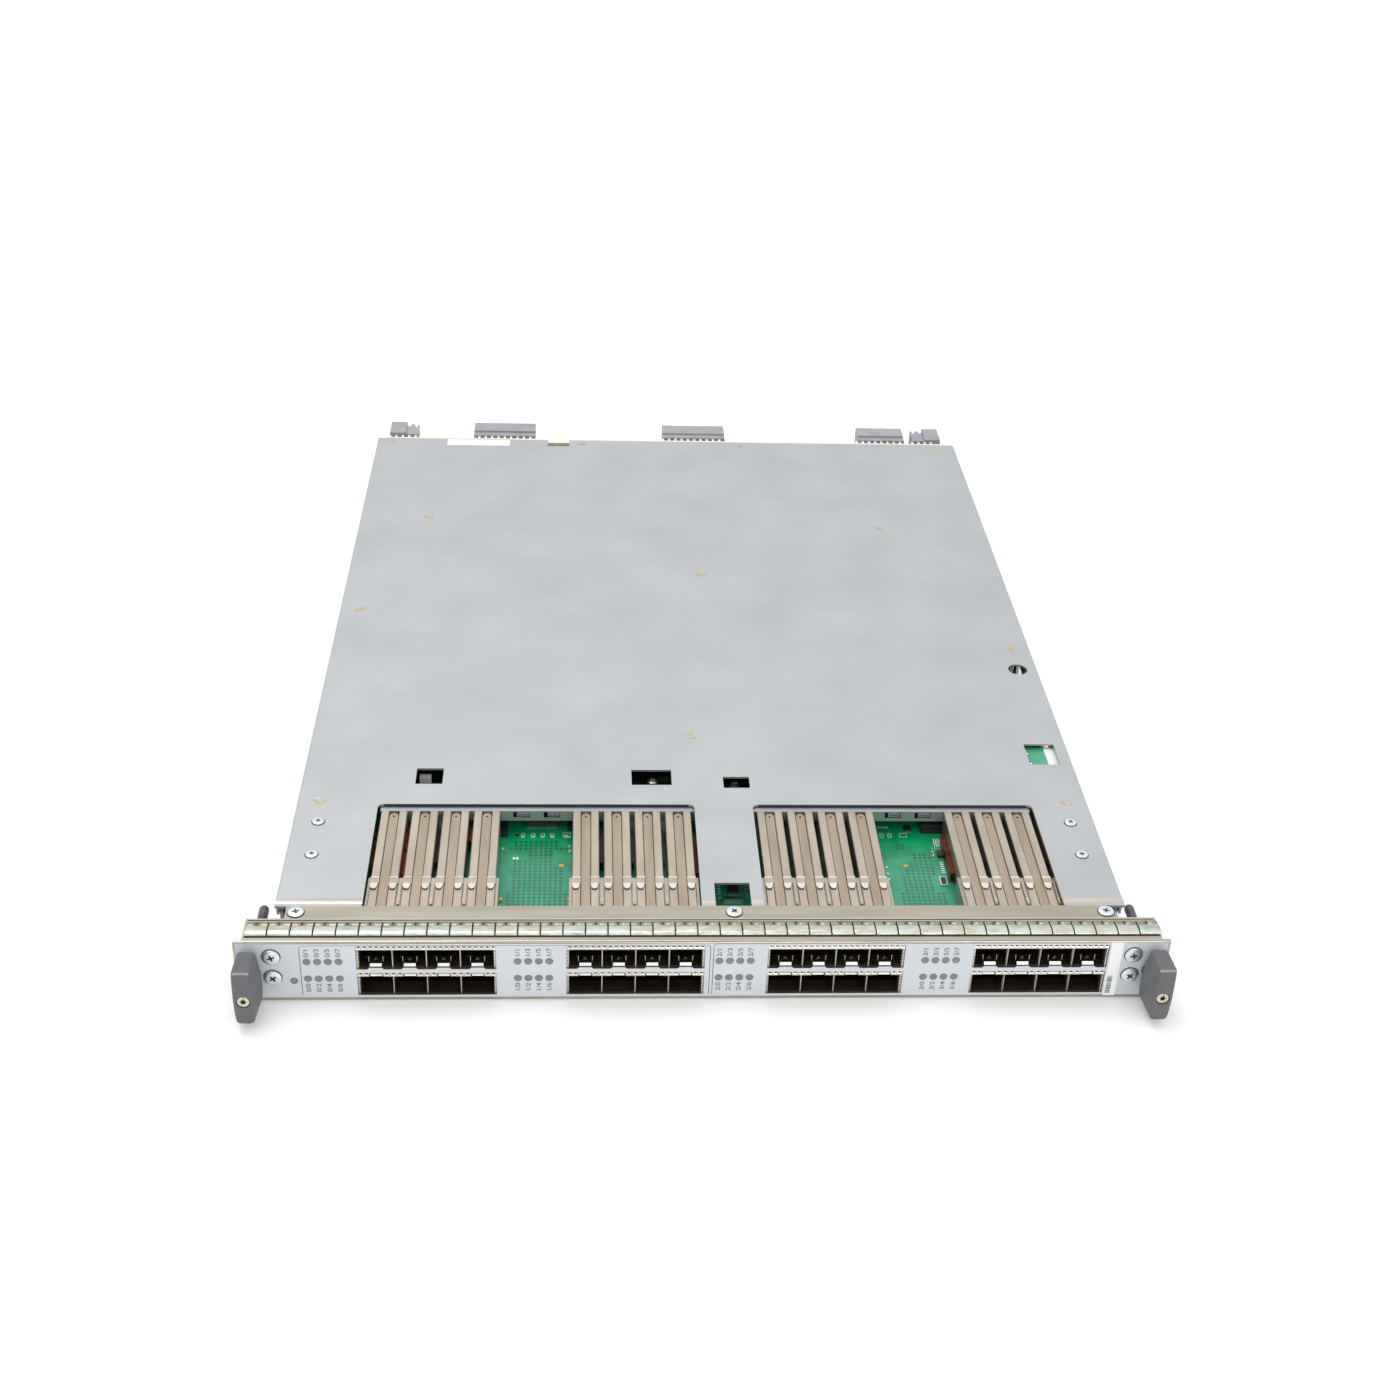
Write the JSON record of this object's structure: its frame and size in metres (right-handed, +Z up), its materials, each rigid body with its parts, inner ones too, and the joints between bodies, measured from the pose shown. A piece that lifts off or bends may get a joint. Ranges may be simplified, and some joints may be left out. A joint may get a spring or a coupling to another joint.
{
  "type": "switch line card",
  "caption": "Wide flat line card for a modular network switch, with stacked transceiver ports across the faceplate and a turning captive-screw knob at each end.",
  "frame": {"origin": "under the middle of the whole card, knobs and rear connectors included, on the plane that the card lies on", "axes": "+X to the right seen from the front, +Y from the faceplate back to the rear connectors, +Z up through the card's thickness"},
  "size_m": [0.398, 0.554, 0.0333],
  "materials": {
    "nickel_sheet": "nickel-plated folded steel sheet, fine satin grain",
    "printed_film": "matt grey printed polycarbonate film",
    "tin_spring": "bright tin-plated beryllium copper spring strip",
    "zinc_sheet": "zinc-plated steel sheet, fine matt crystalline surface",
    "cage_metal": "nickel-plated stamped copper alloy, satin",
    "board_laminate": "glass-epoxy circuit board under green solder resist",
    "zinc_screw": "bright zinc-plated steel screw",
    "stud_plate": "yellow-zinc clinch stud",
    "knob_plastic": "dark grey moulded plastic, fine matt texture",
    "stainless": "passivated stainless steel",
    "dark_steel": "turned steel with a dark oxide finish",
    "lamp_plastic": "clear acrylic light pipe, grey when unlit",
    "housing_plastic": "grey glass-filled moulding",
    "strip_plastic": "cream glass-filled moulding",
    "sink_aluminium": "plain extruded aluminium"
  },
  "bodies": {
    "card": {"backplane_connector_left": "housing_plastic", "backplane_connector_middle": "housing_plastic", "backplane_connector_right": "housing_plastic", "base_tray": "zinc_sheet", "board_standoffs": "stainless", "cage_channel_01": "cage_metal", "cage_channel_02": "cage_metal", "cage_channel_03": "cage_metal", "cage_channel_04": "cage_metal", "cage_channel_05": "cage_metal", "cage_channel_06": "cage_metal", "cage_channel_07": "cage_metal", "cage_channel_08": "cage_metal", "cage_channel_09": "cage_metal", "cage_channel_10": "cage_metal", "cage_channel_11": "cage_metal", "cage_channel_12": "cage_metal", "cage_channel_13": "cage_metal", "cage_channel_14": "cage_metal", "cage_channel_15": "cage_metal", "cage_channel_16": "cage_metal", "cage_cross_bar": "zinc_sheet", "cover_screws": "zinc_screw", "cover_studs": "stud_plate", "emi_gasket": "tin_spring", "faceplate": "nickel_sheet", "faceplate_film": "printed_film", "flange_posts": "stainless", "flange_screws": "zinc_screw", "guide_block_left": "housing_plastic", "guide_block_right": "housing_plastic", "heat_sink_left": "sink_aluminium", "heat_sink_right": "sink_aluminium", "left_side_bracket": "zinc_sheet", "light_pipe_array_1": "lamp_plastic", "light_pipe_array_2": "lamp_plastic", "light_pipe_array_3": "lamp_plastic", "light_pipe_array_4": "lamp_plastic", "lower_cage_bank_1": "cage_metal", "lower_cage_bank_2": "cage_metal", "lower_cage_bank_3": "cage_metal", "lower_cage_bank_4": "cage_metal", "main_board": "board_laminate", "panel_screws": "zinc_screw", "pin_strip": "strip_plastic", "right_side_bracket": "zinc_sheet", "shaft_bushings": "dark_steel", "top_cover": "zinc_sheet", "upper_cage_bank_1": "cage_metal", "upper_cage_bank_2": "cage_metal", "upper_cage_bank_3": "cage_metal", "upper_cage_bank_4": "cage_metal"},
    "left_ejector": {"left_knob": "knob_plastic", "left_knob_screw": "stainless", "left_jackscrew": "dark_steel"},
    "right_ejector": {"right_knob": "knob_plastic", "right_knob_screw": "stainless", "right_jackscrew": "dark_steel"}
  },
  "joints": [
    {"name": "left_jackscrew_turn", "type": "hinge", "parent": "card", "child": "left_ejector", "pos_m": [-0.1928, 0, 0.0162], "axis": [0, 1, 0], "continuous": true},
    {"name": "right_jackscrew_turn", "type": "hinge", "parent": "card", "child": "right_ejector", "pos_m": [0.1928, 0, 0.0162], "axis": [0, 1, 0], "continuous": true}
  ]
}
